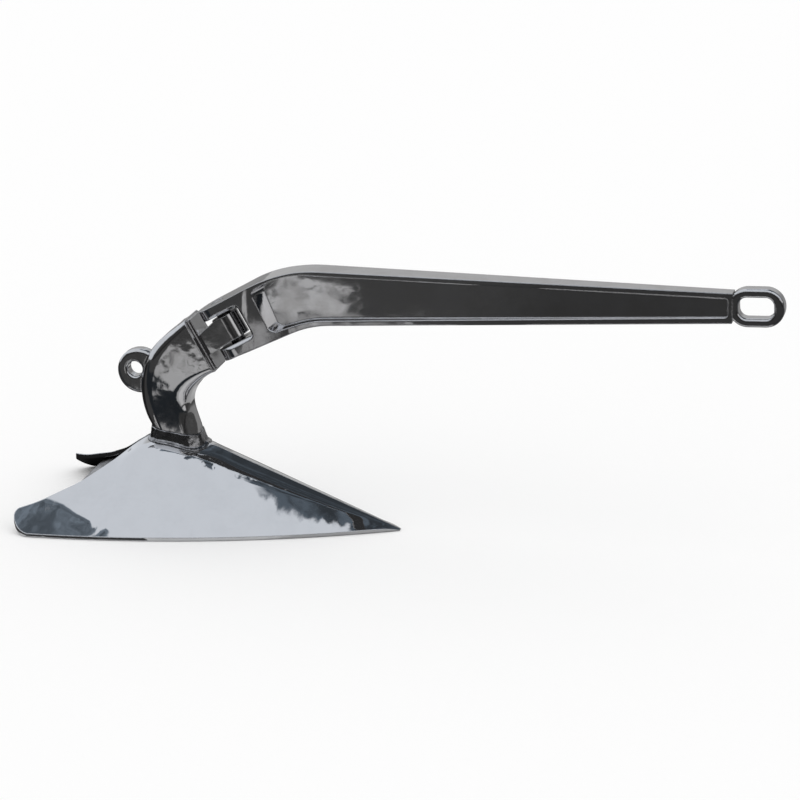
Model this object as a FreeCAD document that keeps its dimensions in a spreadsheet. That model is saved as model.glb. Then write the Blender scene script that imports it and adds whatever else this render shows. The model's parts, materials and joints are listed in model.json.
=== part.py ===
import FreeCAD, Part
import math
import os

import Sketcher
from FreeCAD import Placement, Rotation, Vector

# Hinged plough anchor, stainless steel, polished.
# +X points from the heels to the tip and the shackle eye, +Z is up, and Y = 0 is the plane of symmetry.
# The floor is Z = 0, and the origin lies midway between the heels and the end of the eye.
# "Back" sizes are measured from the tip towards the heels, "height" sizes from the floor.

os.makedirs("parts", exist_ok=True)
doc = FreeCAD.newDocument("plough_anchor")

SIZES = {
    # Overall frame
    "eye_reach": 459.0,
    "heel_reach": 455.0,
    # Hinge: the pin stands square to the head of the shank
    "hinge_back": 212.0,
    "hinge_height": 243.5,
    "hinge_tilt": 30.0,
    "pin_radius": 9.0,
    "pin_running_gap": 0.06,
    "pin_recess": 0.6,
    "pin_chamfer": 1.2,
    # Forked head of the shank
    "arm_radius": 26.0,
    "arm_top": 33.6,
    "arm_bottom": 34.3,
    "window_half": 19.8,
    "window_wall": 28.4,
    "window_corner": 4.0,
    "window_bevel": 3.6,
    # Beam of the shank
    "bend_top_back": 144.5,
    "bend_top_height": 322.4,
    "bend_top_radius": 175.0,
    "bend_under_back": 107.0,
    "bend_under_height": 255.3,
    "bend_under_radius": 120.0,
    "beam_end_top": 329.5,
    "beam_end_under": 293.0,
    "head_taper_back": 182.0,
    "beam_half_at_bend": 17.0,
    "bend_taper_back": 128.0,
    "beam_half_at_end": 9.0,
    "taper_blend": 90.0,
    # Recess in each side of the beam
    "web_half": 7.0,
    "flange_top": 6.8,
    "flange_under": 7.0,
    "recess_post": 17.0,
    "recess_rake": 6.5,
    "recess_end_wall": 5.0,
    "recess_corner": 9.0,
    "recess_bend": 108.0,
    "recess_draft": 2.0,
    "recess_ramp": 12.0,
    # Shackle eye
    "eye_length": 66.0,
    "eye_overlap": 5.0,
    "eye_depth": 46.0,
    "eye_half": 9.6,
    "eye_height": 313.2,
    "eye_tilt": 3.0,
    "eye_corner": 22.6,
    "eye_round": 3.5,
    "slot_length": 41.5,
    "slot_corner": 10.0,
    "slot_depth": 25.2,
    "slot_end_wall": 12.5,
    # Tongue and knuckle of the horn
    "knuckle_radius": 17.0,
    "tongue_half": 15.5,
    "tongue_root_top": 9.0,
    "tongue_root_under": 18.5,
    "tongue_flat": 7.0,
    "shoulder_gap": 39.0,
    "shoulder_lip": 3.5,
    "shoulder_rise": 31.0,
    "shoulder_drop": 37.0,
    # Horn sections from the shoulder down to the foot
    "shoulder_depth": 72.5,
    "shoulder_offset": 2.8,
    "shoulder_width": 58.0,
    "shoulder_round": 8.0,
    "nape_back": 273.5,
    "nape_height": 197.5,
    "nape_tilt": 46.0,
    "nape_depth": 70.0,
    "nape_width": 57.0,
    "nape_round": 14.0,
    "neck_back": 291.0,
    "neck_height": 168.0,
    "neck_tilt": 62.0,
    "neck_depth": 68.0,
    "neck_width": 53.0,
    "neck_round": 19.0,
    "waist_back": 291.5,
    "waist_height": 139.0,
    "waist_tilt": 80.0,
    "waist_depth": 64.5,
    "waist_width": 48.0,
    "waist_round": 20.0,
    "foot_back": 281.2,
    "foot_height": 110.0,
    "foot_tilt": 83.0,
    "foot_depth": 60.4,
    "foot_width": 46.0,
    "foot_round": 18.0,
    "foot_sink": 40.0,
    # Weld collar round the foot
    "collar_step": 1.5,
    "collar_flare": 6.5,
    "collar_drop": 27.0,
    "collar_lead": 7.0,
    # Tripping eye
    "trip_back": 327.0,
    "trip_height": 179.0,
    "trip_radius": 28.0,
    "trip_half": 9.0,
    "trip_hole_back": 332.5,
    "trip_hole_height": 181.5,
    "trip_hole_radius": 9.3,
    "trip_hole_round": 3.5,
    "trip_round": 5.0,
    # Blades
    "blade_thickness": 5.0,
    "edge_radius": 1035.0,
    "tip_cut": 0.5,
    "nose_half": 3.2,
    "nose_height": 1.6,
    "edge_angle": 29.6,
    "edge_land": 4.2,
    "ridge_back": 236.0,
    "ridge_height": 89.8,
    "crown_share": 0.28,
    "crown_slope": 14.0,
    "crown_blend": 0.5,
    "ridge_blend": 0.05,
    "saddle_share": 0.33,
    "saddle_slope": 7.0,
    "saddle_blend": 0.3,
    "roof_1": 95.0,
    "roof_2": 99.5,
    "roof_3": 92.5,
    "roof_4": 75.5,
    "roof_5": 70.0,
    "roof_6": 71.0,
    "roof_7": 75.5,
    "roof_8": 81.5,
    "notch_back": 316.0,
    "elbow_back": 347.0,
    "elbow_out": 14.0,
    "elbow_blend": 45.0,
    "wing_edge_back": 392.0,
    "wing_edge_out": 61.0,
    "wing_edge_blend": 120.0,
    "heel_overrun": 3.7,
    "heel_width": 22.5,
    "heel_inner_round": 11.0,
    "heel_taper": 14.0,
    "heel_inset": 5.5,
    "heel_outer_round": 28.0,
    "heel_start_back": 405.0,
    "span_half": 139.0,
    # Inside the fold
    "inner_overrun": 6.0,
    "hollow_start": 30.0,
    "nose_back": 46.0,
    "nose_end_back": 168.0,
    "nose_lift": 4.0,
    "stay_back": 405.0,
    "stay_height": 23.0,
    "stay_length": 34.0,
    "stay_thickness": 6.0,
    "stay_tilt": 28.0,
}

sheet = doc.addObject("Spreadsheet::Sheet", "Sizes")
for row, (alias, number) in enumerate(SIZES.items(), start=1):
    sheet.set(f"A{row}", alias.replace("_", " "))
    sheet.set(f"B{row}", str(number))
    sheet.setAlias(f"B{row}", alias)
doc.recompute()


class Size:
    """A number that also carries the sheet expression it comes from."""

    def __init__(self, value, text):
        self.value = float(value)
        self.text = text

    def __add__(self, other):
        other = as_size(other)
        return Size(self.value + other.value, f"({self.text} + {other.text})")

    def __sub__(self, other):
        other = as_size(other)
        return Size(self.value - other.value, f"({self.text} - {other.text})")

    def __mul__(self, other):
        other = as_size(other)
        return Size(self.value * other.value, f"{self.text} * {other.text}")

    def __truediv__(self, other):
        other = as_size(other)
        return Size(self.value / other.value, f"{self.text} / ({other.text})")

    def __neg__(self):
        return Size(-self.value, f"(0 - {self.text})")

    def __rsub__(self, other):
        return as_size(other) - self

    __radd__ = __add__
    __rmul__ = __mul__


def as_size(number):
    """A plain number as a Size."""
    return number if isinstance(number, Size) else Size(number, f"({float(number)!r})")


def cell(alias):
    """The Size held by one cell of the sheet."""
    return Size(sheet.get(alias), f"Sizes.{alias}")


def sine(angle):
    return Size(math.sin(math.radians(angle.value)), f"sin({angle.text})")


def cosine(angle):
    return Size(math.cos(math.radians(angle.value)), f"cos({angle.text})")


def tangent(angle):
    return Size(math.tan(math.radians(angle.value)), f"tan({angle.text})")


def arc_sine(ratio):
    return Size(math.degrees(math.asin(ratio.value)), f"(asin({ratio.text}) / 1 deg)")


def slope_angle(rise, run):
    return Size(math.degrees(math.atan2(rise.value, run.value)), f"(atan2({rise.text}; {run.text}) / 1 deg)")


TIP = (cell("heel_reach") - cell("eye_reach")) / 2


def behind_tip(alias):
    """X of a point given by its distance behind the tip."""
    return TIP - cell(alias)


def bind(target, path, size):
    """Ties one property of an object to the sheet."""
    target.setExpression(path, as_size(size).text)


def origin_plane(body, role):
    return next(plane for plane in body.Origin.OriginFeatures if plane.Role == role)


def sketch_on(body, name, role, base=(0, 0, 0), axis=(0, 0, 1), angle=0):
    """Sketch on an origin plane, moved by base and turned about axis in the plane's own directions."""
    sketch = body.newObject("Sketcher::SketchObject", name)
    sketch.AttachmentSupport = [(origin_plane(body, role), "")]
    sketch.MapMode = "FlatFace"
    base = [as_size(size) for size in base]
    angle = as_size(angle)
    turn = Rotation(Vector(*axis), angle.value)
    sketch.AttachmentOffset = Placement(Vector(*[size.value for size in base]), turn)
    for letter, size in zip("xyz", base):
        if "Sizes" in size.text:
            bind(sketch, f".AttachmentOffset.Base.{letter}", size)
    if "Sizes" in angle.text:
        bind(sketch, ".AttachmentOffset.Rotation.Angle", angle)
    return sketch


def pin_point(sketch, geometry, position, x, y):
    """Holds a point of a sketch at x, y from the sketch's origin."""
    for kind, size in (("DistanceX", as_size(x)), ("DistanceY", as_size(y))):
        number = sketch.addConstraint(Sketcher.Constraint(kind, -1, 1, geometry, position, size.value))
        bind(sketch, f"Constraints[{number}]", size)


def outline(sketch, corners):
    """Closed outline through corners (x, y, round), straight between them; a round of 0 stays sharp."""
    corners = [tuple(as_size(size) for size in corner) for corner in corners]
    points = [Vector(x.value, y.value, 0) for x, y, _ in corners]
    rounds = [size.value for _, _, size in corners]
    count = len(corners)
    into = [None] * count
    out_of = [None] * count
    for i, (point, size) in enumerate(zip(points, rounds)):
        before = (points[i - 1] - point).normalize()
        after = (points[(i + 1) % count] - point).normalize()
        reach = size / math.tan(before.getAngle(after) / 2) if size else 0
        into[i] = point + before * reach
        out_of[i] = point + after * reach
    lines = []
    for i in range(count):
        start, end = out_of[i], into[(i + 1) % count]
        lines.append(sketch.addGeometry(Part.LineSegment(start, end), False))
    for i, (x, y, size) in enumerate(corners):
        line_in, line_out = lines[i - 1], lines[i]
        if not rounds[i]:
            sketch.addConstraint(Sketcher.Constraint("Coincident", line_in, 2, line_out, 1))
            pin_point(sketch, line_out, 1, x, y)
            continue
        before = points[i] - into[i]
        after = out_of[i] - points[i]
        left_turn = before.cross(after).z > 0
        side = Vector(-before.y, before.x, 0).normalize() * (rounds[i] if left_turn else -rounds[i])
        centre = into[i] + side
        first, last = (into[i], out_of[i]) if left_turn else (out_of[i], into[i])
        angles = [math.atan2(end.y - centre.y, end.x - centre.x) for end in (first, last)]
        circle = Part.Circle(centre, Vector(0, 0, 1), rounds[i])
        arc = sketch.addGeometry(Part.ArcOfCircle(circle, *angles), False)
        corner = sketch.addGeometry(Part.Point(points[i]), True)
        first_end, last_end = (1, 2) if left_turn else (2, 1)
        sketch.addConstraint(Sketcher.Constraint("Tangent", line_in, 2, arc, first_end))
        sketch.addConstraint(Sketcher.Constraint("Tangent", line_out, 1, arc, last_end))
        sketch.addConstraint(Sketcher.Constraint("PointOnObject", corner, 1, line_in))
        sketch.addConstraint(Sketcher.Constraint("PointOnObject", corner, 1, line_out))
        number = sketch.addConstraint(Sketcher.Constraint("Radius", arc, size.value))
        bind(sketch, f"Constraints[{number}]", size)
        pin_point(sketch, corner, 1, x, y)


def circle(sketch, x, y, radius):
    x, y, radius = as_size(x), as_size(y), as_size(radius)
    middle = Vector(x.value, y.value, 0)
    ring = sketch.addGeometry(Part.Circle(middle, Vector(0, 0, 1), radius.value), False)
    number = sketch.addConstraint(Sketcher.Constraint("Radius", ring, radius.value))
    bind(sketch, f"Constraints[{number}]", radius)
    pin_point(sketch, ring, 3, x, y)


def rounded_box(sketch, width, depth, radius, x=0, y=0):
    """Rounded rectangle about x, y."""
    outline(sketch, [(x + width / 2 * i, y + depth / 2 * j, radius)
                     for i, j in ((1, 1), (-1, 1), (-1, -1), (1, -1))])


def new_body(name):
    body = doc.addObject("PartDesign::Body", name)
    body.Label = name
    return body


def extrude(body, kind, name, sketch, length, symmetric=False, reverse=False):
    """Pad or Pocket of one sketch."""
    feature = body.newObject(f"PartDesign::{kind}", name)
    feature.Profile = sketch
    if symmetric:
        feature.SideType = "Symmetric"
    feature.Reversed = reverse
    bind(feature, "Length", length)
    return feature


def loft(body, kind, name, sketches):
    """Additive or subtractive loft through sketches."""
    feature = body.newObject(f"PartDesign::{kind}", name)
    feature.Profile = sketches[0]
    feature.Sections = sketches[1:]
    return feature


def round_edges(body, name, base, radius, wanted):
    """Fillet on the edges of base that the test picks."""
    doc.recompute()
    names = [f"Edge{i}" for i, edge in enumerate(base.Shape.Edges, start=1) if wanted(edge)]
    feature = body.newObject("PartDesign::Fillet", name)
    feature.Base = (base, names)
    bind(feature, "Radius", radius)
    return feature


HINGE_X = behind_tip("hinge_back")
HINGE_Z = cell("hinge_height")
HINGE_TILT = cell("hinge_tilt")


def hinge_point(along, up):
    """X and Z of a point given along the head (towards the eye) and up the pin from its middle."""
    x = HINGE_X + along * cosine(HINGE_TILT) - up * sine(HINGE_TILT)
    z = HINGE_Z + along * sine(HINGE_TILT) + up * cosine(HINGE_TILT)
    return x, z


def side_sketch_at_hinge(body, name):
    """Sketch in the plane of symmetry: x along the head, y up the pin."""
    return sketch_on(body, name, "XZ_Plane", (HINGE_X, HINGE_Z, 0), (0, 0, 1), HINGE_TILT)


def plan_sketch_at_hinge(body, name, up):
    """Sketch square to the pin, at a height along the pin: x along the head, y across."""
    x, z = hinge_point(as_size(0), as_size(up))
    return sketch_on(body, name, "XY_Plane", (x, 0, z), (0, -1, 0), HINGE_TILT)


def make_eye(body):
    """Shackle eye: an oblong ring with a slot, all its edges rounded."""
    turn = (0, 0, 1), cell("eye_tilt")
    middle = TIP + cell("eye_reach") - cell("eye_length") / 2, cell("eye_height"), 0
    ring = sketch_on(body, "eye_outline", "XZ_Plane", middle, *turn)
    rounded_box(ring, cell("eye_length"), cell("eye_depth"), cell("eye_corner"))
    extrude(body, "Pad", "eye", ring, cell("eye_half") * 2, symmetric=True)
    slot_x = cell("eye_length") / 2 - cell("slot_end_wall") - cell("slot_length") / 2
    hole = sketch_on(body, "slot_outline", "XZ_Plane", middle, *turn)
    rounded_box(hole, cell("slot_length"), cell("slot_depth"), cell("slot_corner"), x=slot_x)
    slot = extrude(body, "Pocket", "slot", hole, cell("eye_half") * 4, symmetric=True)
    face = cell("eye_half").value
    round_edges(body, "eye_rims", slot, cell("eye_round"),
                lambda edge: edge.BoundBox.YLength < 0.01
                and abs(abs(edge.BoundBox.Center.y) - face) < 0.01)


def make_shank():
    body = new_body("shank")
    make_eye(body)
    reach = TIP + cell("eye_reach") - cell("eye_length") + cell("eye_overlap")
    head_width = cell("arm_radius") * 2
    end_top, end_under = cell("beam_end_top"), cell("beam_end_under")

    # Side outline of the beam, from the middle of the arms to the neck of the eye
    side = sketch_on(body, "beam_outline", "XZ_Plane")
    outline(side, [
        (*hinge_point(as_size(0), cell("arm_top")), 0),
        (*hinge_point(as_size(0), -cell("arm_bottom")), 0),
        (behind_tip("bend_under_back"), cell("bend_under_height"), cell("bend_under_radius")),
        (reach, end_under, 0),
        (reach, end_top, 0),
        (behind_tip("bend_top_back"), cell("bend_top_height"), cell("bend_top_radius")),
    ])
    extrude(body, "Pad", "beam", side, head_width, symmetric=True)

    # The beam narrows in plan from the head to the eye
    plan = sketch_on(body, "beam_plan", "XY_Plane")
    for hand in (1, -1):
        outline(plan, [
            (HINGE_X, cell("arm_radius") * hand, 0),
            (behind_tip("head_taper_back"), cell("arm_radius") * hand, cell("taper_blend")),
            (behind_tip("bend_taper_back"), cell("beam_half_at_bend") * hand, cell("taper_blend")),
            (reach, cell("beam_half_at_end") * hand, 0),
            (reach, cell("arm_radius") * 2 * hand, 0),
            (HINGE_X, cell("arm_radius") * 2 * hand, 0),
        ])
    extrude(body, "Pocket", "beam_taper", plan, cell("bend_top_height") * 4, symmetric=True)

    # Rounded ends of the two arms, about the pin
    arms = plan_sketch_at_hinge(body, "arm_ends_plan", -cell("arm_bottom"))
    circle(arms, 0, 0, cell("arm_radius"))
    extrude(body, "Pad", "arm_ends", arms, cell("arm_top") + cell("arm_bottom"))

    # Recess in each side, leaving flanges round a web
    corner_u = cell("window_wall") + cell("recess_post")
    for hand, word in ((1, "starboard"), (-1, "port")):
        sections = []
        for depth, spread in ((cell("web_half"), 0), (cell("arm_radius") + 1, 1)):
            draft = cell("recess_draft") * spread
            ramp = cell("recess_ramp") * (1 - spread)
            top, under = cell("flange_top"), cell("flange_under")
            rim = sketch_on(body, f"recess_{word}_{spread}", "XZ_Plane", (0, 0, depth * hand))
            upper = hinge_point(corner_u + ramp + cell("recess_rake"), cell("arm_top") - top + draft)
            lower = hinge_point(corner_u + ramp, under - cell("arm_bottom") - draft)
            end_x = reach - cell("recess_end_wall") + draft / 2
            bend = cell("recess_bend") * (0.75 + 0.25 * spread)
            outline(rim, [
                (*upper, cell("recess_corner")),
                (*lower, cell("recess_corner")),
                (behind_tip("bend_under_back"), cell("bend_under_height") + under - draft,
                 cell("bend_under_radius")),
                (end_x, end_under + under - draft, cell("recess_corner") / 2),
                (end_x, end_top - top + draft, cell("recess_corner") / 2),
                (behind_tip("bend_top_back"), cell("bend_top_height") - top + draft, bend),
            ])
            sections.append(rim)
        loft(body, "SubtractiveLoft", f"recess_{word}", sections)

    # Window between the arms, open at the back
    window = side_sketch_at_hinge(body, "window_outline")
    half, wall = cell("window_half"), cell("window_wall")
    open_end = -cell("arm_radius") * 1.2
    outline(window, [
        (open_end, half, 0),
        (open_end, -half, 0),
        (wall, -half, cell("window_corner")),
        (wall, half, cell("window_corner")),
    ])
    extrude(body, "Pocket", "window", window, cell("arm_radius") * 4, symmetric=True)

    # Its rims are bevelled on both sides
    bevel = cell("window_bevel")
    for hand, word in ((1, "starboard"), (-1, "port")):
        rims = []
        for depth, grow in ((cell("arm_radius") - bevel, as_size(0)), (cell("arm_radius") + 1, bevel + 1)):
            x, z = hinge_point(as_size(0), as_size(0))
            rim = sketch_on(body, f"window_rim_{word}_{len(rims)}", "XZ_Plane", (x, z, depth * hand),
                            (0, 0, 1), HINGE_TILT)
            outline(rim, [
                (open_end, half + grow, 0),
                (open_end, -half - grow, 0),
                (wall + grow, -half - grow, cell("window_corner") + grow),
                (wall + grow, half + grow, cell("window_corner") + grow),
            ])
            rims.append(rim)
        loft(body, "SubtractiveLoft", f"window_bevel_{word}", rims)

    # Bore for the pin through both arms
    bore = plan_sketch_at_hinge(body, "pin_bore_plan", 0)
    circle(bore, 0, 0, cell("pin_radius"))
    extrude(body, "Pocket", "pin_bore", bore, cell("arm_top") * 4, symmetric=True)
    return body


def make_pin():
    body = new_body("hinge_pin")
    low = cell("pin_recess") - cell("arm_bottom")
    plan = plan_sketch_at_hinge(body, "pin_plan", low)
    circle(plan, 0, 0, cell("pin_radius"))
    length = cell("arm_top") + cell("arm_bottom") - cell("pin_recess") * 2
    rod = extrude(body, "Pad", "pin_rod", plan, length)
    doc.recompute()
    ends = [f"Edge{i}" for i, edge in enumerate(rod.Shape.Edges, start=1) if edge.Closed]
    chamfer = body.newObject("PartDesign::Chamfer", "pin_ends")
    chamfer.Base = (rod, ends)
    bind(chamfer, "Size", cell("pin_chamfer"))
    return body


def horn_section(body, name, x, z, tilt, depth, width, radius):
    """Rounded section of the horn, its normal tilted up from +X."""
    sketch = sketch_on(body, name, "YZ_Plane", (0, z, x), (-1, 0, 0), tilt)
    rounded_box(sketch, width, depth, radius)
    return sketch


def foot_section(body, name, grow, down, lead=0):
    """Section round the foot of the horn: grown outwards, moved down its normal and forward."""
    tilt = cell("foot_tilt")
    x = behind_tip("foot_back") - cosine(tilt) * down + sine(tilt) * lead
    z = cell("foot_height") - sine(tilt) * down - cosine(tilt) * lead
    width = cell("foot_width") + as_size(grow) * 2
    depth = cell("foot_depth") + as_size(grow) * 2
    return horn_section(body, name, x, z, tilt, depth, width, cell("foot_round") + grow)


def make_horn(fold):
    body = new_body("horn_casting")
    x, z = hinge_point(-cell("shoulder_gap"), -cell("shoulder_offset"))
    sections = [horn_section(body, "shoulder_section", x, z, HINGE_TILT, cell("shoulder_depth"),
                             cell("shoulder_width"), cell("shoulder_round"))]
    for part in ("nape", "neck", "waist"):
        sections.append(horn_section(body, f"{part}_section", behind_tip(f"{part}_back"),
                                     cell(f"{part}_height"), cell(f"{part}_tilt"), cell(f"{part}_depth"),
                                     cell(f"{part}_width"), cell(f"{part}_round")))
    sections.append(foot_section(body, "foot_section", 0, 0))
    loft(body, "AdditiveLoft", "horn_neck", sections)
    foot = foot_section(body, "foot_stub_section", 0, 0)
    extrude(body, "Pad", "foot_stub", foot, cell("foot_sink"), reverse=True)

    # Tongue between the arms, with a raised pad on the shoulder above and below it
    side = side_sketch_at_hinge(body, "tongue_outline")
    half, shoulder = cell("tongue_half"), -cell("shoulder_gap")
    inside = shoulder - cell("knuckle_radius")
    lip = shoulder + cell("shoulder_lip")
    outline(side, [
        (0, half, 0),
        (-cell("tongue_flat"), half, 0),
        (lip, cell("tongue_root_top"), 0),
        (lip, cell("shoulder_rise"), 0),
        (inside, cell("shoulder_rise"), 0),
        (inside, -cell("shoulder_drop"), 0),
        (lip, -cell("shoulder_drop"), 0),
        (lip, -cell("tongue_root_under"), 0),
        (0, -half, 0),
    ])
    extrude(body, "Pad", "tongue", side, cell("knuckle_radius") * 2, symmetric=True)
    plan = plan_sketch_at_hinge(body, "knuckle_plan", -half)
    circle(plan, 0, 0, cell("knuckle_radius"))
    extrude(body, "Pad", "knuckle", plan, half * 2)
    bore = plan_sketch_at_hinge(body, "tongue_bore_plan", 0)
    circle(bore, 0, 0, cell("pin_radius") + cell("pin_running_gap"))
    extrude(body, "Pocket", "tongue_bore", bore, half * 4, symmetric=True)

    horn = doc.addObject("Part::Cut", "horn")
    horn.Base, horn.Tool = body, fold
    return horn, body


def make_collar(fold, horn_body):
    body = new_body("collar_bead")
    step, flare = cell("collar_step"), cell("collar_flare")
    sections = [foot_section(body, "collar_top", step, 0),
                foot_section(body, "collar_skirt", step + flare, cell("collar_drop"),
                             cell("collar_lead"))]
    loft(body, "AdditiveLoft", "collar_flare_loft", sections)
    ring = doc.addObject("Part::Cut", "collar_ring")
    ring.Base, ring.Tool = body, horn_body
    collar = doc.addObject("Part::Cut", "horn_collar")
    collar.Base, collar.Tool = ring, fold
    return collar


def make_tripping_eye(horn_body):
    body = new_body("tripping_lug")
    side = sketch_on(body, "lug_outline", "XZ_Plane")
    circle(side, behind_tip("trip_back"), cell("trip_height"), cell("trip_radius"))
    disc = extrude(body, "Pad", "lug_disc", side, cell("trip_half") * 2, symmetric=True)
    rim = round_edges(body, "lug_rim", disc, cell("trip_round"), lambda edge: edge.Closed)
    hole = sketch_on(body, "lug_hole_outline", "XZ_Plane")
    circle(hole, behind_tip("trip_hole_back"), cell("trip_hole_height"), cell("trip_hole_radius"))
    bore = extrude(body, "Pocket", "lug_hole", hole, cell("trip_half") * 4, symmetric=True)
    bore_x, bore_size = behind_tip("trip_hole_back").value, cell("trip_hole_radius").value
    round_edges(body, "lug_hole_rims", bore, cell("trip_hole_round"),
                lambda edge: edge.Closed and abs(edge.BoundBox.Center.x - bore_x) < bore_size / 4
                and abs(edge.BoundBox.XLength - bore_size * 2) < bore_size / 4)
    eye = doc.addObject("Part::Cut", "tripping_eye")
    eye.Base, eye.Tool = body, horn_body
    return eye


def edge_half_width(back):
    """Half width of the plough's lower edge: an arc in plan that starts at the blunt tip."""
    start = cell("edge_angle")
    heading = arc_sine(sine(start) - back / cell("edge_radius"))
    return cell("nose_half") + cell("edge_radius") * (cosine(heading) - cosine(start))


def fold_section(body, name, back, top, crown, land, inset):
    """Section of the fold: a low crown that turns down into straight sides above an upright edge."""
    width = edge_half_width(back)
    slope = cell(f"{crown}_slope")
    crown_y = width * cell(f"{crown}_share")
    crown_drop = crown_y * tangent(slope)
    side = slope_angle(top - crown_drop - land, width - crown_y)
    shift = inset * tangent((side - slope) / 2)
    corner_y = crown_y - inset * sine(slope) - shift * cosine(slope)
    corner_z = top - crown_drop - inset * cosine(slope) + shift * sine(slope)
    peak = top - inset / cosine(slope)
    blend = width * cell(f"{crown}_blend") - inset
    if inset.value:
        overrun = cell("inner_overrun")
        low = inset / sine(side) - (land + overrun) / tangent(side)
        right = [(width - low, -overrun, 0)]
    else:
        right = [(width, 0, 0), (width, land, 0)]
    left = [(-y, z, size) for y, z, size in reversed(right)]
    sketch = sketch_on(body, name, "YZ_Plane", (0, 0, TIP - back))
    outline(sketch, right + [
        (corner_y, corner_z, blend),
        (0, peak, width * cell("ridge_blend")),
        (-corner_y, corner_z, blend),
    ] + left)
    return sketch


def make_fold(name, inset, first_back, first_land, first_section):
    """Solid under the blades' outer or inner faces, through evenly spaced sections."""
    body = new_body(name)
    rise = cell("ridge_height") - cell("nose_height")
    pitch = cell("ridge_back") / 8
    first_top = cell("nose_height") + rise * first_back / cell("ridge_back")
    sections = [fold_section(body, f"{name}_section_0", as_size(first_back), first_top,
                             "crown", cell("edge_land") * first_land, as_size(inset))]
    for i in range(first_section, 17):
        top = cell("nose_height") + rise * i / 8 if i < 9 else cell(f"roof_{i - 8}")
        crown = "saddle" if 9 <= i <= 11 else "crown"
        sections.append(fold_section(body, f"{name}_section_{i}", pitch * i, top, crown,
                                     cell("edge_land"), as_size(inset)))
    loft(body, "AdditiveLoft", f"{name}_loft", sections)
    return body


def make_blades(shell):
    """The shell on one side of the ridge, inside a plan outline with a rounded heel, and its mirror."""
    plan_body = new_body("blade_plan")
    sketch = sketch_on(plan_body, "blade_plan_outline", "XY_Plane")
    far = cell("span_half") * 1.4
    heel_corner = behind_tip("heel_reach") - cell("heel_overrun")
    heel_out = cell("span_half") - cell("heel_inset")
    outline(sketch, [
        (TIP + 10, 0, 0),
        (behind_tip("notch_back"), 0, 0),
        (behind_tip("elbow_back"), cell("elbow_out"), cell("elbow_blend")),
        (behind_tip("wing_edge_back"), cell("wing_edge_out"), cell("wing_edge_blend")),
        (heel_corner, heel_out - cell("heel_width"), cell("heel_inner_round")),
        (heel_corner + cell("heel_taper"), heel_out, cell("heel_outer_round")),
        (behind_tip("heel_start_back"), cell("span_half"), 0),
        (behind_tip("ridge_back"), far, 0),
        (TIP + 10, far, 0),
    ])
    extrude(plan_body, "Pad", "blade_plan_prism", sketch, cell("ridge_height") * 2)
    port = doc.addObject("Part::Common", "blade_port")
    port.Base, port.Tool = shell, plan_body
    starboard = doc.addObject("Part::Mirroring", "blade_starboard")
    starboard.Source = port
    starboard.Normal = (0, 1, 0)
    return port, starboard


def make_nose_weight(inner):
    block = new_body("nose_block")
    side = sketch_on(block, "nose_outline", "XZ_Plane")
    lift = cell("nose_lift")
    top = cell("ridge_height")
    outline(side, [
        (behind_tip("nose_back"), lift, 0),
        (behind_tip("nose_back"), top, 0),
        (behind_tip("nose_end_back"), top, 0),
        (behind_tip("nose_end_back"), lift, 0),
    ])
    extrude(block, "Pad", "nose_slab", side, cell("span_half") * 2, symmetric=True)
    weight = doc.addObject("Part::Common", "nose_weight")
    weight.Base, weight.Tool = block, inner
    return weight


def make_cross_stay(inner):
    bar = new_body("stay_bar")
    side = sketch_on(bar, "stay_outline", "XZ_Plane",
                     (behind_tip("stay_back"), cell("stay_height"), 0), (0, 0, 1), cell("stay_tilt"))
    outline(side, [
        (0, 0, 0),
        (cell("stay_length"), 0, 0),
        (cell("stay_length"), cell("stay_thickness"), 0),
        (0, cell("stay_thickness"), 0),
    ])
    extrude(bar, "Pad", "stay_flat", side, cell("span_half") * 2, symmetric=True)
    stay = doc.addObject("Part::Common", "cross_stay")
    stay.Base, stay.Tool = bar, inner
    return stay


fold_outer = make_fold("fold_outer", 0, cell("tip_cut"), 0.1, 1)
fold_inner = make_fold("fold_inner", cell("blade_thickness"), cell("hollow_start"), 0.5, 2)
plough_shell = doc.addObject("Part::Cut", "plough_shell")
plough_shell.Base, plough_shell.Tool = fold_outer, fold_inner

shank = make_shank()
pin = make_pin()
horn, horn_body = make_horn(fold_outer)
collar = make_collar(fold_outer, horn_body)
tripping_eye = make_tripping_eye(horn_body)
blade_port, blade_starboard = make_blades(plough_shell)
nose_weight = make_nose_weight(fold_inner)
cross_stay = make_cross_stay(fold_inner)

doc.recompute()

for thing in doc.Objects:
    if "Invalid" in thing.State or "Error" in thing.State:
        raise RuntimeError(f"{thing.Name} failed: {thing.State}")

PIECES = (shank, pin, horn, collar, tripping_eye, blade_starboard, blade_port, nose_weight, cross_stay)
for piece in PIECES:
    piece.Label = piece.Name
    shape = piece.Shape
    if shape.isNull() or not shape.isValid() or not shape.Solids:
        raise RuntimeError(f"{piece.Label} has no valid shape")
    print(piece.Label, "solids", len(shape.Solids), "cm3", round(shape.Volume / 1000, 1), shape.BoundBox)
for piece in PIECES:
    piece.Shape.exportStep(f"parts/{piece.Label}.step")
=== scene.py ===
"""Looks of the hinged plough anchor: polished stainless steel on a white studio floor."""

from __future__ import annotations

import json
import logging
import math
from dataclasses import dataclass, field, fields
from enum import Enum
from functools import reduce

import bpy  # noqa: E402
import bmesh  # noqa: E402
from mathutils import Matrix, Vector  # noqa: E402
from mathutils.bvhtree import BVHTree  # noqa: E402
from mathutils.geometry import convex_hull_2d  # noqa: E402

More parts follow.
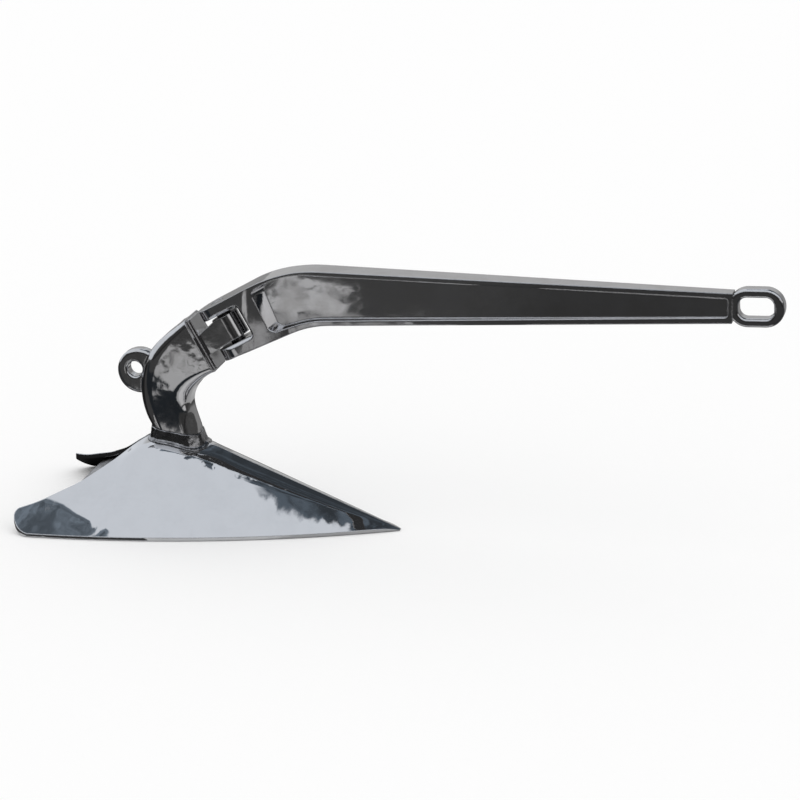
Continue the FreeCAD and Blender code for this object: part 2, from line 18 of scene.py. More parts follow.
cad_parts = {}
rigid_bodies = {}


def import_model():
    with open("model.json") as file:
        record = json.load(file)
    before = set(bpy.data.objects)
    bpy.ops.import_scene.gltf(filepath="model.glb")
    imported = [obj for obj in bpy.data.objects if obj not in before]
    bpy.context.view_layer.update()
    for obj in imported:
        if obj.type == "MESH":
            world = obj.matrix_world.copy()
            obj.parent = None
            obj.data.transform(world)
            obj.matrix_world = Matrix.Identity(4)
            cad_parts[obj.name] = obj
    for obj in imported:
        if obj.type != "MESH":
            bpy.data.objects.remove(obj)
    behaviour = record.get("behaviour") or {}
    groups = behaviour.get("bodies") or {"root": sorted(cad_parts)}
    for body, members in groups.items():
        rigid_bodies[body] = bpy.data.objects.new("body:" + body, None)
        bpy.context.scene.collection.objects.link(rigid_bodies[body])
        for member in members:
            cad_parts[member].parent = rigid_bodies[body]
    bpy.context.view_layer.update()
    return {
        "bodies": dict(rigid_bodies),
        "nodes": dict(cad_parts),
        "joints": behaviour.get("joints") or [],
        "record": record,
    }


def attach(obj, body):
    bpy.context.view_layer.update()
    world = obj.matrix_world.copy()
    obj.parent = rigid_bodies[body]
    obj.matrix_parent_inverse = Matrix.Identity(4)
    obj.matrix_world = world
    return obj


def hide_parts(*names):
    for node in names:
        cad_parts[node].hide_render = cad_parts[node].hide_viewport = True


LOG = logging.getLogger("plough_anchor")
MM = 0.001
Colour = tuple[float, float, float]
Step = tuple[str, float, float]
Value = float | Colour | bpy.types.NodeSocket


class Body(Enum):
    """Bodies of the record that new pieces ride on."""

    PLOUGH = "plough"


class Slot(Enum):
    """Material slots of the record; no new piece here takes one."""

    WELD = "weld"


class Kind(Enum):
    """Kinds of sockets of a node group."""

    NUMBER = "NodeSocketFloat"
    COLOUR = "NodeSocketColor"
    VECTOR = "NodeSocketVector"


class Shade(Enum):
    """What shades a hanging of the room from its first colour to its second."""

    FOLDS = "soft folds"
    LENGTH = "along the room"


def linear(level: float) -> float:
    """Linear value of a display level from 0 to 255."""
    share = max(level, 0.0) / 255
    return share / 12.92 if share <= 0.04045 else ((share + 0.055) / 1.055) ** 2.4


def grey(level: float, warm: float = 0.0) -> Colour:
    """A grey of a display level, with a little warmth or cold.

    Args:
        level: Display level from 0 to 255.
        warm: Levels added to red and taken from blue.

    Returns:
        The linear colour.
    """
    return linear(level + warm), linear(level), linear(level - warm)


class Nodes:
    """Short hand for placing and joining shader nodes in one tree."""

    def __init__(self, tree: bpy.types.NodeTree) -> None:
        """Empties the tree and keeps it."""
        tree.nodes.clear()
        self.tree = tree

    def add(self, kind: str, **inputs: Value) -> bpy.types.Node:
        """Adds a node.

        Args:
            kind: Node type without its "ShaderNode" start.
            inputs: Values or sockets of its inputs, an underscore for each space.

        Returns:
            The new node.
        """
        node = self.tree.nodes.new("ShaderNode" + kind)
        for name, value in inputs.items():
            self.feed(node.inputs[name.replace("_", " ")], value)
        return node

    def effect(self, group: bpy.types.NodeTree, **inputs: Value) -> bpy.types.Node:
        """Places a node group.

        Args:
            group: The group.
            inputs: Values or sockets of its inputs.

        Returns:
            Its node.
        """
        node = self.tree.nodes.new("ShaderNodeGroup")
        node.node_tree = group
        for name, value in inputs.items():
            self.feed(node.inputs[name], value)
        return node

    def feed(self, socket: bpy.types.NodeSocket, value: Value) -> None:
        """Joins a socket to an input, or sets the input to a number or colour.

        Args:
            socket: The input.
            value: What it gets.
        """
        if isinstance(value, bpy.types.NodeSocket):
            self.tree.links.new(value, socket)
        elif isinstance(value, tuple) and len(value) == 3 and socket.type == "RGBA":
            socket.default_value = (*value, 1.0)
        else:
            socket.default_value = value

    def maths(self, operation: str, *values: Value) -> bpy.types.NodeSocket:
        """Result of a Math node.

        Args:
            operation: The node's operation.
            values: Numbers or sockets.

        Returns:
            The node's output.
        """
        node = self.tree.nodes.new("ShaderNodeMath")
        node.operation = operation
        for socket, value in zip(node.inputs, values):
            self.feed(socket, value)
        return node.outputs[0]

    def both(self, *masks: bpy.types.NodeSocket) -> bpy.types.NodeSocket:
        """Product of masks: where all of them are."""
        return reduce(lambda first, second: self.maths("MULTIPLY", first, second), masks)

    def either(self, *masks: bpy.types.NodeSocket) -> bpy.types.NodeSocket:
        """Largest of masks: where any of them is."""
        return reduce(lambda first, second: self.maths("MAXIMUM", first, second), masks)

    def step(self, value: Value, start: float, end: float) -> bpy.types.NodeSocket:
        """Smooth step of a value.

        Args:
            value: Number or socket.
            start: Where the result is 0.
            end: Where it is 1, above or below the start.

        Returns:
            The step, from 0 to 1.
        """
        node = self.tree.nodes.new("ShaderNodeMapRange")
        node.interpolation_type = "SMOOTHSTEP"
        self.feed(node.inputs["Value"], value)
        node.inputs["From Min"].default_value = min(start, end)
        node.inputs["From Max"].default_value = max(start, end)
        if start > end:
            node.inputs["To Min"].default_value = 1.0
            node.inputs["To Max"].default_value = 0.0
        return node.outputs[0]

    def blend(self, share: Value, first: Value, second: Value) -> bpy.types.NodeSocket:
        """Colour mixed from two.

        Args:
            share: Share of the second, a number or a socket.
            first: Colour or socket.
            second: Colour or socket.

        Returns:
            The mixed colour.
        """
        node = self.tree.nodes.new("ShaderNodeMix")
        node.data_type = "RGBA"
        colours = [socket for socket in node.inputs if socket.type == "RGBA"]
        for socket, value in zip((node.inputs["Factor"], *colours), (share, first, second)):
            self.feed(socket, value)
        return next(socket for socket in node.outputs if socket.type == "RGBA")

    def noise(self, place: bpy.types.NodeSocket, scale: Value, detail: float,
              roughness: float) -> bpy.types.NodeSocket:
        """Noise at a place.

        Args:
            place: The place.
            scale: Its scale, a number or a socket.
            detail: How many finer layers it has.
            roughness: How strong they are.

        Returns:
            A value from 0 to 1.
        """
        return self.add("TexNoise", Vector=place, Scale=scale, Detail=detail,
                        Roughness=roughness).outputs[0]

    def warp(self, place: bpy.types.NodeSocket, scale: float, reach: float) -> bpy.types.NodeSocket:
        """Position or direction shifted by noise.

        Args:
            place: The vector to shift.
            scale: Scale of the noise.
            reach: Shift for the whole range of the noise.

        Returns:
            The shifted vector.
        """
        noise = self.add("TexNoise", Vector=place, Scale=scale, Detail=4.0, Roughness=0.62)
        centred = self.tree.nodes.new("ShaderNodeVectorMath")
        centred.operation = "SUBTRACT"
        self.feed(centred.inputs[0], noise.outputs["Color"])
        centred.inputs[1].default_value = (0.5,) * 3
        shifted = self.tree.nodes.new("ShaderNodeVectorMath")
        shifted.operation = "MULTIPLY_ADD"
        self.feed(shifted.inputs[0], centred.outputs[0])
        shifted.inputs[1].default_value = (reach,) * 3
        self.feed(shifted.inputs[2], place)
        return shifted.outputs[0]


@dataclass(frozen=True)
class Group:
    """A shader node group with named inputs and outputs."""

    name: str
    numbers: dict[str, float]
    others: dict[str, Kind]
    outputs: dict[str, Kind]

    def start(self) -> tuple[Nodes, dict[str, bpy.types.NodeSocket], bpy.types.Node]:
        """Makes the group's tree.

        Returns:
            Its nodes, the sockets of its inputs by name, and the output node.
        """
        tree = bpy.data.node_groups.new(self.name, "ShaderNodeTree")
        nodes = Nodes(tree)
        made = tree.interface.new_socket
        for name, value in self.numbers.items():
            made(name, in_out="INPUT", socket_type=Kind.NUMBER.value).default_value = value
        for name, kind in self.others.items():
            made(name, in_out="INPUT", socket_type=kind.value)
        for name, kind in self.outputs.items():
            made(name, in_out="OUTPUT", socket_type=kind.value)
        entry = tree.nodes.new("NodeGroupInput")
        given = {name: entry.outputs[name] for name in (*self.numbers, *self.others)}
        return nodes, given, tree.nodes.new("NodeGroupOutput")


@dataclass(frozen=True)
class Waves:
    """Effect that tilts the normal as hand polishing does: broad waves, and dents on them."""

    dent_ratio: float = 5.0
    dent_share: float = 0.2

    def build(self) -> bpy.types.NodeTree:
        """Builds the node group.

        Returns:
            Its tree.
        """
        group = Group("polish waves", {"Scale": 40.0, "Depth": 0.3 * MM, "Dents": 0.2},
                      {"Normal": Kind.VECTOR}, {"Normal": Kind.VECTOR})
        nodes, given, out = group.start()
        place = nodes.add("TexCoord").outputs["Object"]
        waves = nodes.noise(place, given["Scale"], detail=2.0, roughness=0.5)
        fine_scale = nodes.maths("MULTIPLY", given["Scale"], self.dent_ratio)
        dents = nodes.noise(place, fine_scale, detail=3.0, roughness=0.6)
        share = nodes.maths("MULTIPLY", given["Dents"], self.dent_share)
        height = nodes.maths("MULTIPLY_ADD", dents, share, waves)
        bump = nodes.add("Bump", Strength=1.0, Distance=given["Depth"], Height=height,
                         Normal=given["Normal"])
        nodes.feed(out.inputs["Normal"], bump.outputs[0])
        return nodes.tree


@dataclass(frozen=True)
class Dish:
    """Effect that tilts the normal of a plate where its heel is dished, beyond a slanting line."""

    uneven_scale: float = 24.0
    uneven_reach: float = 40 * MM
    softness: float = 20 * MM

    def build(self) -> bpy.types.NodeTree:
        """Builds the node group.

        Returns:
            Its tree.
        """
        group = Group("heel dish", {"Start": 0.292, "Lean": 4.8, "Slope": 0.05},
                      {"Normal": Kind.VECTOR}, {"Normal": Kind.VECTOR})
        nodes, given, out = group.start()
        place = nodes.add("TexCoord").outputs["Object"]
        split = nodes.add("SeparateXYZ", Vector=place)
        back = nodes.maths("MULTIPLY", split.outputs["X"], -1.0)
        uneven = nodes.noise(place, self.uneven_scale, detail=1.0, roughness=0.5)
        # below 0 on the flat of the plate, and rising beyond the line
        line = nodes.maths("MULTIPLY_ADD", split.outputs["Z"], given["Lean"], given["Start"])
        ragged = nodes.maths("MULTIPLY_ADD", uneven, self.uneven_reach, back)
        beyond = nodes.maths("SUBTRACT", ragged, line)
        rise = nodes.maths("SMOOTH_MAX", beyond, 0.0, self.softness)
        bump = nodes.add("Bump", Strength=1.0, Distance=given["Slope"], Height=rise,
                         Normal=given["Normal"])
        nodes.feed(out.inputs["Normal"], bump.outputs[0])
        return nodes.tree


@dataclass(frozen=True)
class SmudgesAndCornerShade:
    """Effect for uneven gloss: cloudy smears, fine polishing lines, and painted shade in tight
    corners.
    """

    line_scale: float = 900.0
    line_squeeze: Colour = (0.06, 1.0, 1.0)
    line_share: float = 0.18
    dull_start: float = 0.45
    dull_end: float = 0.80
    gap_reach: float = 14 * MM
    gap_samples: int = 8
    gap_cloud_share: float = -0.25
    # painted shade in tight corners: the openness where it starts and where it is full, how much it
    # dulls the gloss, and its colour
    grime_start: float = 0.42
    grime_end: float = 0.12
    grime_dullness: float = 0.25
    grime: Colour = grey(52, 2)

    def build(self) -> bpy.types.NodeTree:
        """Builds the node group.

        Returns:
            Its tree.
        """
        group = Group("smudges_and_shade", {"Clean": 0.05, "Dull": 0.12, "Scale": 30.0},
                      {"Base": Kind.COLOUR, "Stain": Kind.COLOUR},
                      {"Roughness": Kind.NUMBER, "Color": Kind.COLOUR})
        nodes, given, out = group.start()
        place = nodes.add("TexCoord").outputs["Object"]
        cloud = nodes.noise(place, given["Scale"], detail=6.0, roughness=0.65)
        squeezed = nodes.add("Mapping", Vector=place, Scale=self.line_squeeze).outputs[0]
        lines = nodes.noise(squeezed, self.line_scale, detail=2.0, roughness=0.6)
        lined = nodes.maths("MULTIPLY_ADD", lines, self.line_share, cloud)
        dull = nodes.step(lined, self.dull_start, self.dull_end)
        # painted shade: ambient occlusion darkens and dulls tight corners and gaps, where shade
        # falls
        gap = nodes.add("AmbientOcclusion", Distance=self.gap_reach)
        gap.samples = self.gap_samples
        open_share = nodes.maths("MULTIPLY_ADD", cloud, self.gap_cloud_share, gap.outputs["AO"])
        grime = nodes.step(open_share, self.grime_start, self.grime_end)
        span = nodes.maths("SUBTRACT", given["Dull"], given["Clean"])
        rough = nodes.maths("MULTIPLY_ADD", dull, span, given["Clean"])
        nodes.feed(out.inputs["Roughness"],
                   nodes.maths("MULTIPLY_ADD", grime, self.grime_dullness, rough))
        clean = nodes.blend(dull, given["Base"], given["Stain"])
        nodes.feed(out.inputs["Color"], nodes.blend(grime, clean, self.grime))
        return nodes.tree


@dataclass(frozen=True)
class Steel:
    """A metal finish: colour, gloss, hand-polished waves and softened edges."""

    name: str
    base: Colour
    stain: Colour
    clean: float
    dull: float
    wave_scale: float = 40.0
    wave_depth: float = 0.3 * MM
    dents: float = 0.2
    smudge_scale: float = 30.0
    edge: float = 1.5 * MM
    edge_samples: int = 6
    dish: float = 0.0

    def material(self, waves: bpy.types.NodeTree, smudges_and_shade: bpy.types.NodeTree,
                 dish: bpy.types.NodeTree) -> bpy.types.Material:
        """Builds the material.

        Args:
            waves: The group that tilts the normal.
            smudges_and_shade: The group for gloss and colour, which also paints shade into tight
                corners.
            dish: The group for a plate's heel, placed where the finish has a dish slope.

        Returns:
            The material.
        """
        made = bpy.data.materials.new(self.name)
        made.use_nodes = True
        nodes = Nodes(made.node_tree)
        out = nodes.add("OutputMaterial")
        bevel = nodes.add("Bevel", Radius=self.edge)
        bevel.samples = self.edge_samples
        normal = bevel.outputs[0]
        if self.dish:
            normal = nodes.effect(dish, Slope=self.dish, Normal=normal).outputs["Normal"]
        wave = nodes.effect(waves, Scale=self.wave_scale, Depth=self.wave_depth, Dents=self.dents,
                            Normal=normal)
        smudge_and_shade = nodes.effect(smudges_and_shade, Clean=self.clean, Dull=self.dull, Scale=self.smudge_scale,
                              Base=self.base, Stain=self.stain)
        steel = nodes.add("BsdfPrincipled", Base_Color=smudge_and_shade.outputs["Color"], Metallic=1.0,
                          Roughness=smudge_and_shade.outputs["Roughness"], Normal=wave.outputs["Normal"])
        nodes.feed(out.inputs[0], steel.outputs[0])
        return made


@dataclass(frozen=True)
class Finishes:
    """The finishes of the anchor."""

    forging: Steel = Steel(
        "polished forging", base=(0.64, 0.64, 0.655), stain=(0.57, 0.565, 0.57), clean=0.03,
        dull=0.08, wave_scale=22.0, wave_depth=0.30 * MM, dents=0.15, edge=2.4 * MM)
    casting: Steel = Steel(
        "polished casting", base=(0.63, 0.63, 0.64), stain=(0.54, 0.535, 0.54), clean=0.035,
        dull=0.11, wave_scale=34.0, wave_depth=0.5 * MM, dents=0.35, edge=2.0 * MM)
    plate: Steel = Steel(
        "polished plate", base=(0.65, 0.655, 0.67), stain=(0.625, 0.63, 0.645), clean=0.02,
        dull=0.05, wave_scale=26.0, wave_depth=0.30 * MM, dents=0.2, dish=0.04)
    weld: Steel = Steel(
        "dressed weld", base=(0.36, 0.36, 0.37), stain=(0.11, 0.11, 0.115), clean=0.08,
        dull=0.22, wave_scale=90.0, wave_depth=0.8 * MM, dents=0.8, smudge_scale=110.0)
    stay: Steel = Steel(
        "brushed bar", base=(0.50, 0.50, 0.51), stain=(0.36, 0.355, 0.36), clean=0.22,
        dull=0.36, wave_scale=50.0, wave_depth=0.3 * MM)
    pin: Steel = Steel(
        "turned pin", base=(0.60, 0.60, 0.61), stain=(0.50, 0.50, 0.505), clean=0.12,
        dull=0.24, dents=0.1)
    ballast: Steel = Steel(
        "cast ballast", base=(0.38, 0.38, 0.385), stain=(0.24, 0.24, 0.245), clean=0.42,
        dull=0.62, wave_scale=70.0, wave_depth=1.2 * MM, dents=1.0)

    def build(self) -> dict[str, bpy.types.Material]:
        """Builds the materials that the pieces share.

        Returns:
            The materials by field name.
        """
        effects = Waves().build(), SmudgesAndCornerShade().build(), Dish().build()
        return {finish.name: getattr(self, finish.name).material(*effects)
                for finish in fields(self)}


def dress(frame: dict, node: str, finish: bpy.types.Material) -> None:
    """Gives a CAD node its finish.

    Args:
        frame: The loaded frame.
        node: The node's name.
        finish: Its material.
    """
    slots = frame["nodes"][node].data.materials
    slots.clear()
    slots.append(finish)
    LOG.info("dressed %s", node)


@dataclass
class Collar:
    """The dressed weld round the horn's foot.

    It is the CAD collar, melted into a bead where it meets the plates.
    """

    bead_radius: float = 2.6 * MM
    bead_offset: float = 0.6 * MM
    bead_step: float = 2.0 * MM
    bead_ripple: float = 0.35 * MM
    bead_ripple_rings: int = 3
    bead_sides: int = 12
    voxel: float = 0.8 * MM
    smooth_rounds: int = 6
    smooth_share: float = 0.6
    ripple: float = 0.9 * MM
    ripple_size: float = 9 * MM
    inset: float = 0.25 * MM

    def foot_line(self, foot: list[Vector], plates: list[BVHTree]) -> list[Vector]:
        """Line where the collar meets the plates.

        Args:
            foot: Points of the collar's outline.
            plates: The plates to stand on.

        Returns:
            Evenly spaced points of a closed line, a little outside the collar.
        """
        top = max(point.z for point in foot)
        flat = [point.to_2d() for point in foot]
        hull = [flat[index] for index in convex_hull_2d(flat)]
        middle = sum(hull, Vector((0.0, 0.0))) / len(hull)
        even: list[Vector] = []
        for start, end in zip(hull, hull[1:] + hull[:1]):
            count = max(1, round((end - start).length / self.bead_step))
            even += [start.lerp(end, share / count) for share in range(count)]
        line = []
        for point in even:
            out = point + (point - middle).normalized() * self.bead_offset
            above = Vector((*out, top))
            hits = [plate.ray_cast(above, Vector((0, 0, -1)))[0] for plate in plates]
            heights = [hit.z for hit in hits if hit]
            if heights:
                line.append(Vector((*out, max(heights))))
        return line

    def add_bead(self, shape: bmesh.types.BMesh, line: list[Vector]) -> None:
        """Adds a rippled tube.

        Args:
            shape: The mesh to add it to.
            line: Points of the closed line that it follows.
        """
        count = len(line)
        rings = []
        for index, point in enumerate(line):
            ahead = (line[(index + 1) % count] - line[index - 1]).normalized()
            side = ahead.cross(Vector((0, 0, 1))).normalized()
            over = side.cross(ahead)
            swell = math.sin(index * math.tau / self.bead_ripple_rings)
            radius = self.bead_radius + self.bead_ripple * swell
            turns = (step * math.tau / self.bead_sides for step in range(self.bead_sides))
            spokes = [side * math.cos(turn) + over * math.sin(turn) for turn in turns]
            rings.append([shape.verts.new(point + spoke * radius) for spoke in spokes])
        for ring, after in zip(rings, rings[1:] + rings[:1]):
            for side in range(self.bead_sides):
                beside = (side + 1) % self.bead_sides
                shape.faces.new((ring[side], after[side], after[beside], ring[beside]))

    def build(self, frame: dict, finish: bpy.types.Material) -> bpy.types.Object:
        """Builds the piece in the CAD collar's place.

        Args:
            frame: The loaded frame.
            finish: Its material.

        Returns:
            The new piece.
        """
        plates = []
        for name in ("blade_port", "blade_starboard"):
            plate = bmesh.new()
            plate.from_mesh(frame["nodes"][name].data)
            plates.append(BVHTree.FromBMesh(plate))
            plate.free()
        shape = bmesh.new()
        shape.from_mesh(frame["nodes"]["horn_collar"].data)
        self.add_bead(shape, self.foot_line([vertex.co.copy() for vertex in shape.verts], plates))
        bmesh.ops.recalc_face_normals(shape, faces=shape.faces)
        mesh = bpy.data.meshes.new("collar_weld")
        shape.to_mesh(mesh)
        shape.free()
        mesh.materials.append(finish)
        piece = bpy.data.objects.new("collar_weld", mesh)
        bpy.context.scene.collection.objects.link(piece)
        remesh = piece.modifiers.new("even mesh", "REMESH")
        remesh.mode = "VOXEL"
        remesh.voxel_size = self.voxel
        smooth = piece.modifiers.new("melted edges", "SMOOTH")
        smooth.factor = self.smooth_share
        smooth.iterations = self.smooth_rounds
        texture = bpy.data.textures.new("weld ripple", "CLOUDS")
        texture.noise_scale = self.ripple_size
        texture.noise_depth = 1
        ripple = piece.modifiers.new("ripple", "DISPLACE")
        ripple.texture = texture
        ripple.texture_coords = "LOCAL"
        ripple.strength = self.ripple
        # 0.5 leaves the surface in place on average, and more sinks it
        ripple.mid_level = 0.5 + self.inset / self.ripple
        graph = bpy.context.evaluated_depsgraph_get()
        melted = bpy.data.meshes.new_from_object(piece.evaluated_get(graph))
        piece.modifiers.clear()
        piece.data = melted
        melted.shade_smooth()
        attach(piece, Body.PLOUGH.value)
        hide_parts("horn_collar")
        LOG.info("built %s", piece.name)
        return piece


@dataclass
class Shank:
    """The bent beam with its shackle eye and forked head, and the pin it turns on."""

    def build(self, frame: dict, finishes: dict[str, bpy.types.Material]) -> None:
        """Dresses the shank and its pin.

        Args:
            frame: The loaded frame.
            finishes: Materials by name.
        """
        dress(frame, "shank", finishes["forging"])
        dress(frame, "hinge_pin", finishes["pin"])


@dataclass
class Plough:
    """The horn, the two plates, and what is welded to them."""

    collar: Collar = field(default_factory=Collar)

    def build(self, frame: dict, finishes: dict[str, bpy.types.Material]) -> None:
        """Dresses the plough and builds its weld.

        Args:
            frame: The loaded frame.
            finishes: Materials by name.
        """
        for node, finish in (("horn", "casting"), ("tripping_eye", "casting"),
                             ("blade_port", "plate"), ("blade_starboard", "plate"),
                             ("cross_stay", "stay"), ("nose_weight", "ballast")):
            dress(frame, node, finishes[finish])
        self.collar.build(frame, finishes["weld"])


@dataclass(frozen=True)
class Cloth:
    """A cloth on the studio floor that only the metal shows.

    Left and right are places along X, near and far along Y, in metres.
    """

    left: float
    right: float
    near: float
    far: float
    level: float
    warm: float = 0.0
    lean: float = 0.0
    soft: float = 0.012
    torn: bool = False
    spotted: bool = False

    def mask(self, nodes: Nodes, along: bpy.types.NodeSocket,
             across: bpy.types.NodeSocket) -> bpy.types.NodeSocket:
        """Mask of the cloth.

        Args:
            nodes: The floor's nodes.
            along: Place along X.
            across: Place along Y.

        Returns:
            1 on the cloth and 0 beside it.
        """
        slanted = nodes.maths("MULTIPLY_ADD", across, -self.lean, along)
        return nodes.both(nodes.step(slanted, self.left - self.soft, self.left),
                          nodes.step(along, self.right + self.soft, self.right),
                          nodes.step(across, self.near - self.soft, self.near),
                          nodes.step(across, self.far + self.soft, self.far))


@dataclass(frozen=True)
class Patch:
    """A patch of the mirrored room.

    Its steps along the axes of a direction are each an axis, the value where the step is 0 and
    the value where it is 1. They cut it raggedly, broadly or finely.
    """

    broad: tuple[Step, ...] = ()
    fine: tuple[Step, ...] = ()

    def mask(self, nodes: Nodes, broad: bpy.types.Node,
             fine: bpy.types.Node) -> bpy.types.NodeSocket:
        """Mask of the patch.

        Args:
            nodes: The room's nodes.
            broad: Parts of the direction, shifted far by broad noise.
            fine: Parts of the direction, shifted a little by fine noise.

        Returns:
            1 in the patch and 0 beside it.
        """
        steps = [nodes.step(split.outputs[axis], start, end)
                 for split, cut in ((broad, self.broad), (fine, self.fine))
                 for axis, start, end in cut]
        return nodes.both(*steps)


@dataclass(frozen=True)
class Hanging:
    """A cloth, wall or card of the mirrored room, in one patch or more."""

    patches: tuple[Patch, ...]
    colour: Colour
    second: Colour | None = None
    shade: Shade | None = None
    shade_start: float = 0.0
    shade_end: float = 1.0

    def over(self, nodes: Nodes, under: Value, splits: tuple[bpy.types.Node, bpy.types.Node],
             shades: dict[Shade, bpy.types.NodeSocket]) -> bpy.types.NodeSocket:
        """Lays the hanging over the room so far.

        Args:
            nodes: The room's nodes.
            under: Colour of the room so far.
            splits: Parts of the direction, broadly and finely shifted.
            shades: Values that shade a hanging.

        Returns:
            The colour with the hanging.
        """
        colour: Value = self.colour
        if self.shade:
            share = nodes.step(shades[self.shade], self.shade_start, self.shade_end)
            colour = nodes.blend(share, self.colour, self.second)
        mask = nodes.either(*(patch.mask(nodes, *splits) for patch in self.patches))
        return nodes.blend(mask, under, colour)


@dataclass
class Room:
    """Even white light from all round, and the room that the metal mirrors."""

    ceiling: Colour = (0.815, 0.850, 0.900)
    high: Step = ("Z", 0.40, 0.47)
    low: Step = ("Z", 0.44, 0.38)
    card_band: tuple[Step, ...] = (("Z", 0.17, 0.21), ("Z", 0.45, 0.36))
    broad_scale: float = 7.0
    broad_reach: float = 0.10
    fine_scale: float = 16.0
    fine_reach: float = 0.03
    fold_scale: float = 9.0

    def hangings(self) -> tuple[Hanging, ...]:
        """Lists the hangings.

        Returns:
            The hangings from the first to the last, each over the ones before it.
        """
        return (
            # velvet overhead, which the ridge and the roll of the plates mirror
            Hanging((Patch((self.high,), (("Y", -0.01, 0.02), ("X", -0.05, 0.0),
                                          ("X", 0.320, 0.310))),
                     Patch((self.high,), (("Y", 0.12, 0.16), ("X", -0.05, 0.0))),
                     Patch((self.high,), (("Y", -0.30, -0.26), ("X", 0.243, 0.258),
                                          ("X", 0.312, 0.302)))),
                    grey(64, -5), grey(108, -10), Shade.FOLDS, shade_start=0.42, shade_end=0.68),
            # drape overhead on the left, which the dished heel mirrors
            Hanging((Patch((self.high,), (("Y", 0.13, 0.17), ("Y", 0.55, 0.45),
                                          ("X", -0.285, -0.260), ("X", 0.06, 0.02))),
                     Patch((self.high,), (("Y", -0.06, -0.01), ("Y", 0.55, 0.45),
                                          ("X", -0.205, -0.18), ("X", 0.06, 0.02)))),
                    grey(88, -7), grey(140, -11), Shade.FOLDS, shade_start=0.30, shade_end=0.60),
            # wall at the back
            Hanging((Patch((("Y", -0.05, 0.10), self.low, ("X", -0.55, -0.45))),),
                    grey(192), grey(140), Shade.LENGTH, shade_start=0.15, shade_end=0.35),
            # dark front of the room
            Hanging((Patch((("Y", -0.20, -0.30), ("Z", 0.50, 0.42))),), grey(62)),
            # dark end of the room, ahead of the anchor
            Hanging((Patch((("X", 0.55, 0.70), self.low)),), grey(80)),
            # white cards, which light the knuckle and the edge of the recess
            Hanging((Patch((("X", 0.92, 0.94), *self.card_band)),
                     Patch((("Y", -0.90, -0.65), ("Y", -0.10, -0.30), ("X", 0.45, 0.60),
                            *self.card_band))),
                    grey(232)),
        )

    def build(self) -> None:
        """Builds the world."""
        world = bpy.data.worlds.new("studio")
        bpy.context.scene.world = world
        world.use_nodes = True
        nodes = Nodes(world.node_tree)
        place = nodes.add("TexCoord").outputs["Generated"]
        splits = tuple(nodes.add("SeparateXYZ", Vector=nodes.warp(place, scale, reach))
                       for scale, reach in ((self.broad_scale, self.broad_reach),
                                            (self.fine_scale, self.fine_reach)))
        shades = {Shade.FOLDS: nodes.noise(place, self.fold_scale, detail=3.0, roughness=0.6),
                  Shade.LENGTH: splits[0].outputs["X"]}
        colour: Value = self.ceiling
        for hanging in self.hangings():
            colour = hanging.over(nodes, colour, splits, shades)
        light = nodes.add("Background", Color=(1.0, 1.0, 1.0))
        room = nodes.add("Background", Color=colour)
        mix = nodes.add("MixShader")
        glossy = nodes.add("LightPath").outputs["Is Glossy Ray"]
        for socket, value in zip(mix.inputs, (glossy, light.outputs[0], room.outputs[0])):
            nodes.feed(socket, value)
        nodes.add("OutputWorld", Surface=mix.outputs[0])
        LOG.info("built the light and the room")


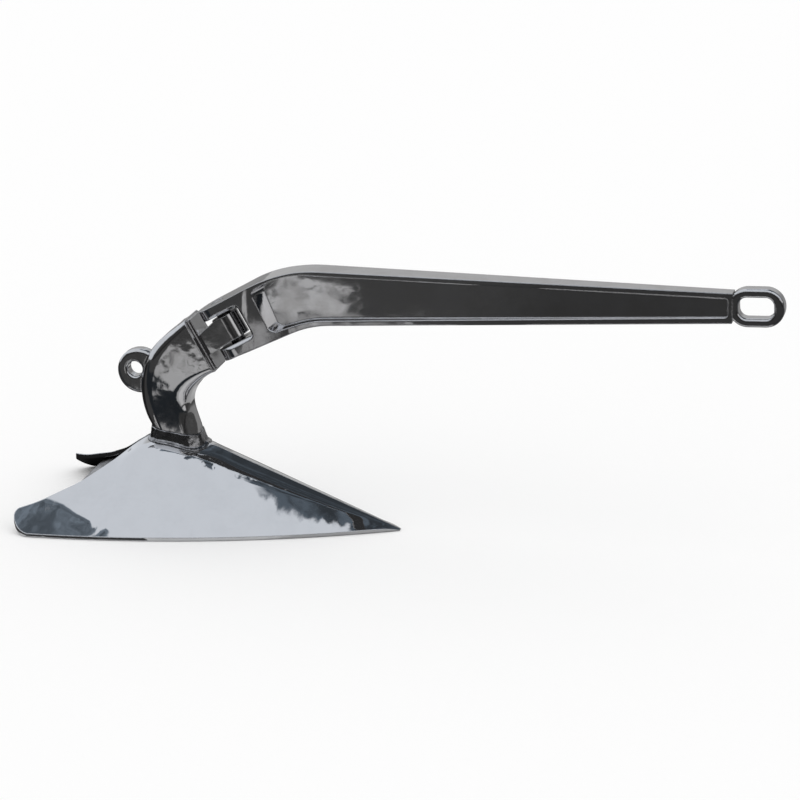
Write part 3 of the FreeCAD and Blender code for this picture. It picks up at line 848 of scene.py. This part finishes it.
@dataclass
class Floor:
    """A wide white floor, which shows the metal the studio's dark and grey cloths."""

    side: float = 30.0
    drop: float = 0.6 * MM
    paint: float = 0.99
    bare: Colour = grey(72)
    torn_scale: float = 24.0
    torn_reach: float = 0.07
    neat_scale: float = 44.0
    neat_reach: float = 0.02
    spot_scale: float = 26.0
    spot_start: float = 0.40
    spot_end: float = 0.42
    # laid from the first to the last, each over the ones before it
    cloths: tuple[Cloth, ...] = (
        Cloth(0.0, 30.0, -30.0, -0.5, 62, soft=0.15),
        Cloth(-30.0, 30.0, -30.0, -1.8, 44, soft=0.5),
        Cloth(-30.0, 30.0, -0.43, -0.21, 44, warm=-4),
        Cloth(-0.355, -0.33, -0.655, -0.44, 192, lean=0.24, torn=True, spotted=True),
        Cloth(-0.405, -0.13, -0.865, -0.69, 165, torn=True, spotted=True),
        Cloth(-0.43, -0.31, -0.95, -0.85, 198, torn=True, spotted=True),
        Cloth(-0.44, -0.34, -1.04, -0.92, 198, torn=True, spotted=True),
        Cloth(-0.26, -0.408, -0.46, -0.33, 188, lean=0.5),
        Cloth(-0.372, 0.02, -0.22, 0.45, 188),
        Cloth(-30.0, -0.36, 0.02, 0.9, 36, soft=0.04),
        Cloth(0.12, 30.0, 0.26, 0.9, 90, soft=0.04, torn=True),
        Cloth(-0.47, 0.02, -0.175, -0.08, 225),
        Cloth(0.12, 0.50, -0.25, -0.06, 225),
        Cloth(-30.0, 30.0, 0.95, 30.0, 150, soft=0.5),
    )

    def build(self) -> None:
        """Builds the floor and its paint."""
        mesh = bpy.data.meshes.new("floor")
        side = self.side
        mesh.from_pydata([(-side, -side, 0), (side, -side, 0), (side, side, 0), (-side, side, 0)],
                         [], [(0, 1, 2, 3)])
        floor = bpy.data.objects.new("floor", mesh)
        floor.location.z = -self.drop
        bpy.context.scene.collection.objects.link(floor)
        mesh.materials.append(self.material())
        LOG.info("built the floor")

    def material(self) -> bpy.types.Material:
        """Builds the white paint, with the cloths for glossy rays.

        Returns:
            The material.
        """
        made = bpy.data.materials.new("white floor")
        made.use_nodes = True
        nodes = Nodes(made.node_tree)
        place = nodes.add("NewGeometry").outputs["Position"]
        specks = nodes.noise(place, self.spot_scale, detail=3.0, roughness=0.7)
        spots = nodes.step(specks, self.spot_start, self.spot_end)
        torn, neat = (nodes.add("SeparateXYZ", Vector=nodes.warp(place, scale, reach))
                      for scale, reach in ((self.torn_scale, self.torn_reach),
                                           (self.neat_scale, self.neat_reach)))
        colour: Value = self.bare
        for cloth in self.cloths:
            edge = torn if cloth.torn else neat
            mask = cloth.mask(nodes, edge.outputs["X"], edge.outputs["Y"])
            if cloth.spotted:
                mask = nodes.both(mask, spots)
            colour = nodes.blend(mask, colour, grey(cloth.level, cloth.warm))
        glossy = nodes.add("LightPath").outputs["Is Glossy Ray"]
        seen = nodes.blend(glossy, (self.paint,) * 3, colour)
        diffuse = nodes.add("BsdfDiffuse", Color=seen)
        nodes.add("OutputMaterial", Surface=diffuse.outputs[0])
        return made


@dataclass
class Studio:
    """Camera, floor and light."""

    azimuth: float = math.radians(14.2)
    elevation: float = math.radians(18.0)
    distance: float = 4.1424
    lens: float = 155.3
    reach: float = 20.0
    target: Vector = field(default_factory=lambda: Vector((-0.00296, 0.0, 0.1656)))
    floor: Floor = field(default_factory=Floor)
    room: Room = field(default_factory=Room)

    def build(self) -> None:
        """Builds all of it."""
        self.camera()
        self.floor.build()
        self.room.build()

    def camera(self) -> None:
        """Places the camera at the photograph's angle."""
        lens = bpy.data.cameras.new("camera")
        lens.lens = self.lens
        lens.clip_end = self.reach
        camera = bpy.data.objects.new("camera", lens)
        bpy.context.scene.collection.objects.link(camera)
        flat = math.cos(self.elevation)
        back = Vector((math.sin(self.azimuth) * flat, -math.cos(self.azimuth) * flat,
                       math.sin(self.elevation)))
        camera.location = self.target + back * self.distance
        camera.rotation_euler = back.to_track_quat("Z", "Y").to_euler()
        bpy.context.scene.camera = camera
        LOG.info("placed the camera")


def main() -> None:
    """Builds the scene in order."""
    logging.basicConfig(level=logging.INFO)
    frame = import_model()
    bpy.context.scene.view_settings.view_transform = "Standard"
    Studio().build()
    finishes = Finishes().build()
    Shank().build(frame, finishes)
    Plough().build(frame, finishes)


if __name__ == "__main__":
    main()
